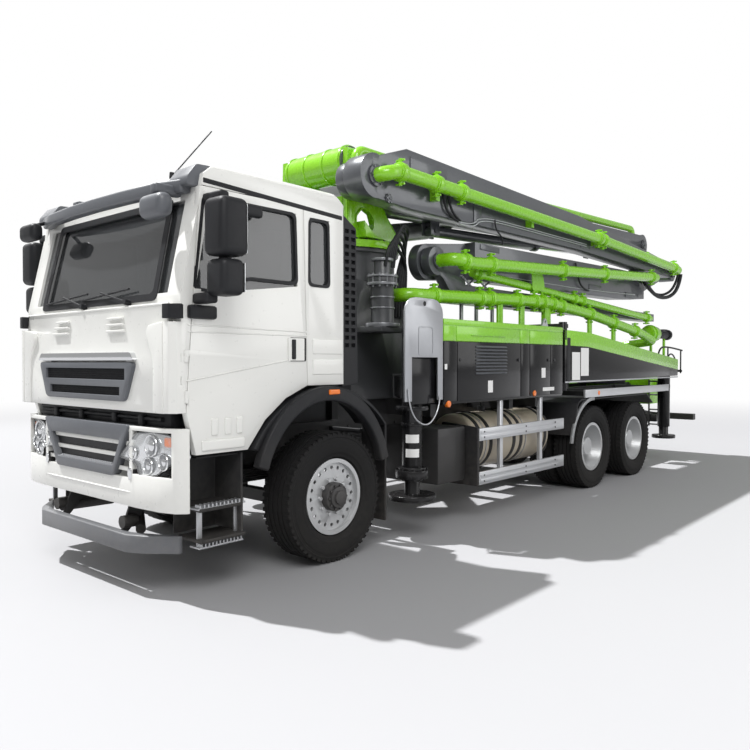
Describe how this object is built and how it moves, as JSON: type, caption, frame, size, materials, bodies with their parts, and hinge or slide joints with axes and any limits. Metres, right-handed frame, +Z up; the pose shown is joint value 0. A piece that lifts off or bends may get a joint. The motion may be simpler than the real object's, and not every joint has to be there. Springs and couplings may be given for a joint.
{
  "type": "truck-mounted concrete pump",
  "caption": "Cab-over three-axle truck with a folding concrete boom, pump, hopper and swing-out outriggers on jacks.",
  "frame": {"origin": "on the ground, under the middle of the overall box", "axes": "+X forward, +Y to the vehicle's left, +Z up"},
  "size_m": [10.395, 2.96, 3.9104],
  "materials": {
    "frame_black": "satin",
    "cab_white": "gloss",
    "glass": "tinted",
    "interior": "matte",
    "lamp": "clear",
    "guard_plastic": "matte",
    "guard_grey": "satin",
    "silver": "satin",
    "box_black": "gloss",
    "jack_steel": "bright",
    "pedestal_grey": "satin",
    "green": "gloss",
    "boom_grey": "satin",
    "rim_silver": "satin",
    "tyre": "matte"
  },
  "bodies": {
    "chassis": {"chassis_frame": "frame_black", "engine_block": "frame_black", "front_axle": "frame_black", "rear_axles": "frame_black", "cab_shell": "cab_white", "cab_glass": "glass", "cab_interior": "interior", "bumper": "cab_white", "headlamps": "lamp", "front_underrun": "guard_grey", "cab_steps": "frame_black", "mudguards": "guard_plastic", "side_tanks": "silver", "side_guards": "silver", "side_boxes": "box_black", "pedestal": "pedestal_grey", "hopper": "green", "pump_unit": "frame_black", "delivery_line": "green"},
    "front_lid": {"front_lid": "cab_white"},
    "turret": {"turret": "green"},
    "boom_1": {"boom_1": "boom_grey", "pipes_1": "green"},
    "boom_2": {"boom_2": "boom_grey", "pipes_2": "green"},
    "boom_3": {"boom_3": "boom_grey", "pipes_3": "green"},
    "boom_4": {"boom_4": "boom_grey", "pipes_4": "green"},
    "boom_5": {"boom_5": "boom_grey", "pipes_5": "green"},
    "luff_barrel": {"luff_barrel": "boom_grey"},
    "luff_rod": {"luff_rod": "jack_steel"},
    "door_left": {"door_left": "cab_white", "door_glass_left": "glass"},
    "knuckle_left": {"knuckle_left": "pedestal_grey"},
    "front_wheel_left": {"front_rim_left": "rim_silver", "front_tyre_left": "tyre"},
    "mid_wheel_left": {"mid_rims_left": "rim_silver", "mid_tyres_left": "tyre"},
    "rear_wheel_left": {"rear_rims_left": "rim_silver", "rear_tyres_left": "tyre"},
    "front_outrigger_left": {"front_outrigger_left": "silver"},
    "front_jack_left": {"front_jack_left": "jack_steel"},
    "rear_outrigger_left": {"rear_outrigger_left": "box_black"},
    "rear_jack_left": {"rear_jack_left": "jack_steel"},
    "door_right": {"door_right": "cab_white", "door_glass_right": "glass"},
    "knuckle_right": {"knuckle_right": "pedestal_grey"},
    "front_wheel_right": {"front_rim_right": "rim_silver", "front_tyre_right": "tyre"},
    "mid_wheel_right": {"mid_rims_right": "rim_silver", "mid_tyres_right": "tyre"},
    "rear_wheel_right": {"rear_rims_right": "rim_silver", "rear_tyres_right": "tyre"},
    "front_outrigger_right": {"front_outrigger_right": "silver"},
    "front_jack_right": {"front_jack_right": "jack_steel"},
    "rear_outrigger_right": {"rear_outrigger_right": "box_black"},
    "rear_jack_right": {"rear_jack_right": "jack_steel"}
  },
  "joints": [
    {"name": "boom_raise", "type": "hinge", "parent": "turret", "child": "boom_1", "pos_m": [2.6525, 0, 3.52], "axis": [0, 1, 0], "range_deg": [0, 80]},
    {"name": "slew", "type": "hinge", "parent": "chassis", "child": "turret", "pos_m": [2.3525, 0, 2.74], "axis": [0, 0, 1], "range_deg": [0, 180]},
    {"name": "fold_2", "type": "hinge", "parent": "boom_1", "child": "boom_2", "pos_m": [-4.5975, 0, 3.6], "axis": [0, -1, 0], "range_deg": [0, 180]},
    {"name": "fold_3", "type": "hinge", "parent": "boom_2", "child": "boom_3", "pos_m": [2.8025, 0, 3.3], "axis": [0, 1, 0], "range_deg": [0, 180]},
    {"name": "fold_4", "type": "hinge", "parent": "boom_3", "child": "boom_4", "pos_m": [-4.9475, 0, 3.13], "axis": [0, 1, 0], "range_deg": [0, 180]},
    {"name": "fold_5", "type": "hinge", "parent": "boom_4", "child": "boom_5", "pos_m": [1.7025, 0, 2.65], "axis": [0, -1, 0], "range_deg": [0, 180]},
    {"name": "luff_barrel_turn", "type": "hinge", "parent": "turret", "child": "luff_barrel", "pos_m": [2.2725, 0, 2.9], "axis": [0, 1, 0], "range_deg": [0, 72.76]},
    {"name": "luff_rod_slide", "type": "slide", "parent": "luff_barrel", "child": "luff_rod", "axis": [-0.9823, 0, 0.1874], "range_m": [0, 0.9029]},
    {"name": "lid_open", "type": "hinge", "parent": "chassis", "child": "front_lid", "pos_m": [5.1075, 0, 1.985], "axis": [0, -1, 0], "range_deg": [0, 75]},
    {"name": "door_left_open", "type": "hinge", "parent": "chassis", "child": "door_left", "pos_m": [5.0375, 1.14, 1.4], "axis": [0, 0, -1], "range_deg": [0, 70]},
    {"name": "steer_left", "type": "hinge", "parent": "chassis", "child": "knuckle_left", "pos_m": [3.6525, 0.86, 0.52], "axis": [0, 0, 1], "range_deg": [-35, 35]},
    {"name": "front_left_spin", "type": "hinge", "parent": "knuckle_left", "child": "front_wheel_left", "pos_m": [3.6525, 1.011, 0.52], "axis": [0, 1, 0], "continuous": true},
    {"name": "mid_left_spin", "type": "hinge", "parent": "chassis", "child": "mid_wheel_left", "pos_m": [-0.9475, 0.916, 0.52], "axis": [0, 1, 0], "continuous": true},
    {"name": "rear_left_spin", "type": "hinge", "parent": "chassis", "child": "rear_wheel_left", "pos_m": [-2.2975, 0.916, 0.52], "axis": [0, 1, 0], "continuous": true},
    {"name": "front_outrigger_left_out", "type": "slide", "parent": "chassis", "child": "front_outrigger_left", "axis": [0.7071, 0.7071, 0], "range_m": [0, 1.75]},
    {"name": "rear_outrigger_left_swing", "type": "hinge", "parent": "chassis", "child": "rear_outrigger_left", "pos_m": [-0.2975, 1.13, 1.66], "axis": [0, 0, -1], "range_deg": [0, 75]},
    {"name": "front_jack_left_down", "type": "slide", "parent": "front_outrigger_left", "child": "front_jack_left", "axis": [0, 0, -1], "range_m": [0, 0.5]},
    {"name": "rear_jack_left_down", "type": "slide", "parent": "rear_outrigger_left", "child": "rear_jack_left", "axis": [0, 0, -1], "range_m": [0, 0.5]},
    {"name": "door_right_open", "type": "hinge", "parent": "chassis", "child": "door_right", "pos_m": [5.0375, -1.14, 1.4], "axis": [0, 0, 1], "range_deg": [0, 70]},
    {"name": "steer_right", "type": "hinge", "parent": "chassis", "child": "knuckle_right", "pos_m": [3.6525, -0.86, 0.52], "axis": [0, 0, 1], "range_deg": [-35, 35]},
    {"name": "front_right_spin", "type": "hinge", "parent": "knuckle_right", "child": "front_wheel_right", "pos_m": [3.6525, -1.011, 0.52], "axis": [0, 1, 0], "continuous": true},
    {"name": "mid_right_spin", "type": "hinge", "parent": "chassis", "child": "mid_wheel_right", "pos_m": [-0.9475, -0.916, 0.52], "axis": [0, 1, 0], "continuous": true},
    {"name": "rear_right_spin", "type": "hinge", "parent": "chassis", "child": "rear_wheel_right", "pos_m": [-2.2975, -0.916, 0.52], "axis": [0, 1, 0], "continuous": true},
    {"name": "front_outrigger_right_out", "type": "slide", "parent": "chassis", "child": "front_outrigger_right", "axis": [0.7071, -0.7071, 0], "range_m": [0, 1.75]},
    {"name": "rear_outrigger_right_swing", "type": "hinge", "parent": "chassis", "child": "rear_outrigger_right", "pos_m": [-0.2975, -1.13, 1.66], "axis": [0, 0, 1], "range_deg": [0, 75]},
    {"name": "front_jack_right_down", "type": "slide", "parent": "front_outrigger_right", "child": "front_jack_right", "axis": [0, 0, -1], "range_m": [0, 0.5]},
    {"name": "rear_jack_right_down", "type": "slide", "parent": "rear_outrigger_right", "child": "rear_jack_right", "axis": [0, 0, -1], "range_m": [0, 0.5]}
  ],
  "couplings": [
    {"joint": "slew", "follows": "boom_raise", "ratio": 2.25},
    {"joint": "fold_2", "follows": "boom_raise", "ratio": 2.25},
    {"joint": "fold_3", "follows": "boom_raise", "ratio": 2.25},
    {"joint": "fold_4", "follows": "boom_raise", "ratio": 2.25},
    {"joint": "fold_5", "follows": "boom_raise", "ratio": 2.25},
    {"joint": "luff_barrel_turn", "follows": "boom_raise", "ratio": 0.90942},
    {"joint": "luff_rod_slide", "follows": "boom_raise", "m_per_rad": 0.64593},
    {"joint": "steer_right", "follows": "steer_left", "ratio": 1}
  ]
}
